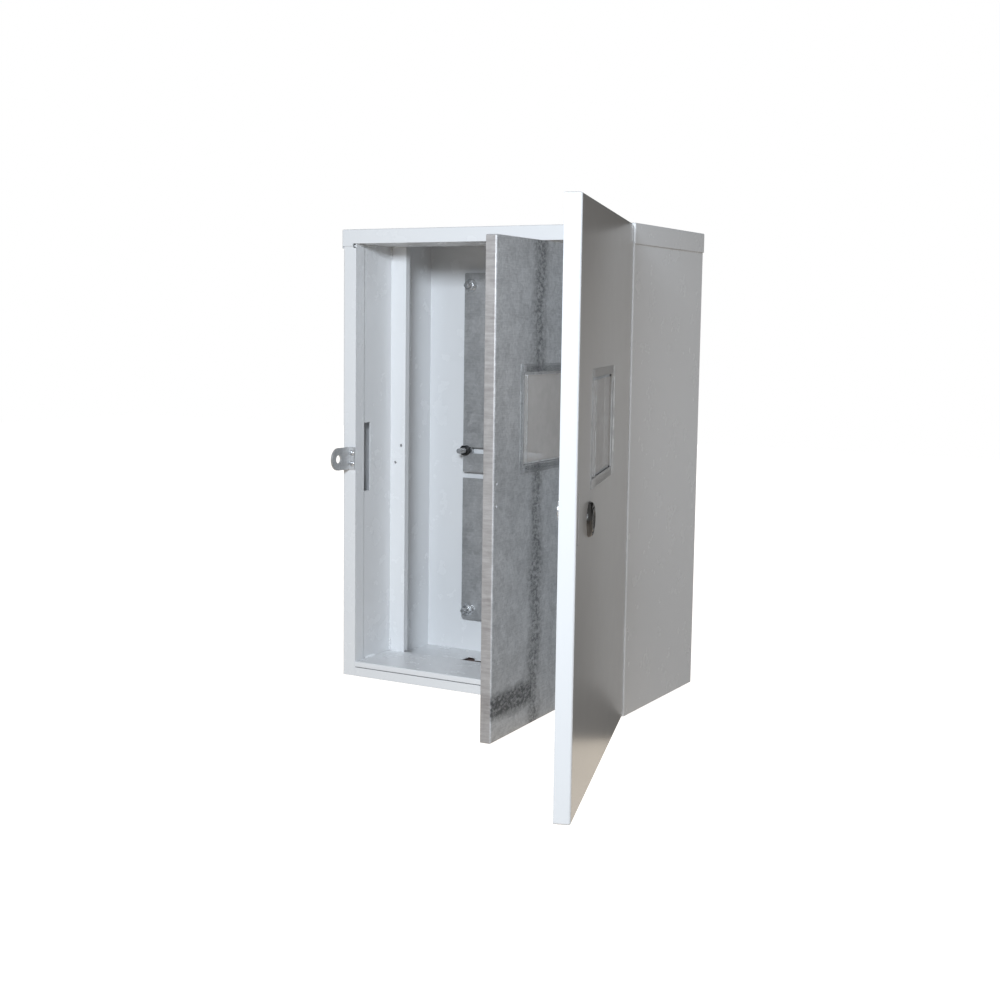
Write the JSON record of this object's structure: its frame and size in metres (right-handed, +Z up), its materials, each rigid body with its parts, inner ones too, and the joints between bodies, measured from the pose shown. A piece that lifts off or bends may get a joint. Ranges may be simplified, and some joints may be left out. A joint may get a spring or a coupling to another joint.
{
  "type": "meter cabinet",
  "caption": "Wall-hung steel meter cabinet with a windowed locking outer door, a windowed inner sealing door, a slotted mounting plate, a padlock lug and a floor cable entry.",
  "frame": {"origin": "on the wall plane at the centre of the rectangle of four wall holes, halfway up and across the back of the shell", "axes": "+X to the right seen from the front, +Y back into the wall, +Z up; the doors face -Y"},
  "size_m": [0.414, 0.4702, 0.45],
  "materials": {
    "powder_coat": "semi-gloss fine-textured light grey powder coat",
    "galvanised_steel": "hot-dip galvanised sheet with soft spangle",
    "zinc_plated_steel": "bright zinc plating",
    "black_steel": "black oxide",
    "lock_metal": "dark polished nickel",
    "clear_plastic": "clear moulded plastic",
    "window_pane": "clear window sheet"
  },
  "bodies": {
    "cabinet": {"cabinet_shell": "powder_coat", "roof_cap": "powder_coat", "floor_pan": "powder_coat", "sill": "powder_coat", "header": "powder_coat", "left_jamb": "powder_coat", "right_jamb": "powder_coat", "lower_outer_hinge_bracket": "powder_coat", "upper_outer_hinge_bracket": "powder_coat", "lower_outer_hinge_pin": "zinc_plated_steel", "upper_outer_hinge_pin": "zinc_plated_steel", "lower_inner_hinge_bracket": "zinc_plated_steel", "upper_inner_hinge_bracket": "zinc_plated_steel", "lower_inner_hinge_pin": "zinc_plated_steel", "upper_inner_hinge_pin": "zinc_plated_steel", "padlock_lug": "zinc_plated_steel", "lug_rivets": "zinc_plated_steel", "mounting_plate": "galvanised_steel", "plate_studs": "zinc_plated_steel", "plate_standoffs": "zinc_plated_steel", "plate_nuts": "zinc_plated_steel", "earth_stud": "zinc_plated_steel", "earth_nuts": "zinc_plated_steel", "earth_washers": "zinc_plated_steel"},
    "outer_door_leaf": {"outer_door": "powder_coat", "outer_window_frame": "clear_plastic", "outer_window_pane": "window_pane", "outer_window_retainer": "black_steel", "lower_outer_hinge_tab": "powder_coat", "upper_outer_hinge_tab": "powder_coat", "lock_body": "lock_metal", "lock_nut": "zinc_plated_steel"},
    "lock_cylinder": {"lock_plug": "lock_metal", "lock_cam": "zinc_plated_steel", "cam_screw": "zinc_plated_steel"},
    "inner_door_leaf": {"inner_door": "galvanised_steel", "inner_window_frame": "clear_plastic", "inner_window_pane": "window_pane", "inner_window_retainer": "black_steel", "lower_inner_hinge_leaf": "zinc_plated_steel", "upper_inner_hinge_leaf": "zinc_plated_steel"},
    "meter_hanger": {"meter_bolt": "zinc_plated_steel", "meter_bolt_washer": "black_steel", "meter_bolt_nut": "black_steel"}
  },
  "joints": [
    {"name": "outer_door_hinge", "type": "hinge", "parent": "cabinet", "child": "outer_door_leaf", "pos_m": [0.153, -0.1725, 0], "axis": [0, 0, 1], "range_deg": [-108, 7]},
    {"name": "inner_door_hinge", "type": "hinge", "parent": "cabinet", "child": "inner_door_leaf", "pos_m": [0.1275, -0.1115, 0], "axis": [0, 0, 1], "range_deg": [-92.5, 6]},
    {"name": "lock_turn", "type": "hinge", "parent": "outer_door_leaf", "child": "lock_cylinder", "pos_m": [0.2352, -0.40445, -0.01], "axis": [0.9511, 0.309, 0], "range_deg": [0, 180]},
    {"name": "meter_bolt_slide", "type": "slide", "parent": "cabinet", "child": "meter_hanger", "axis": [1, 0, 0], "range_m": [0, 0.088]}
  ],
  "couplings": [
    {"joint": "inner_door_hinge", "follows": "outer_door_hinge", "ratio": 0.85648}
  ]
}
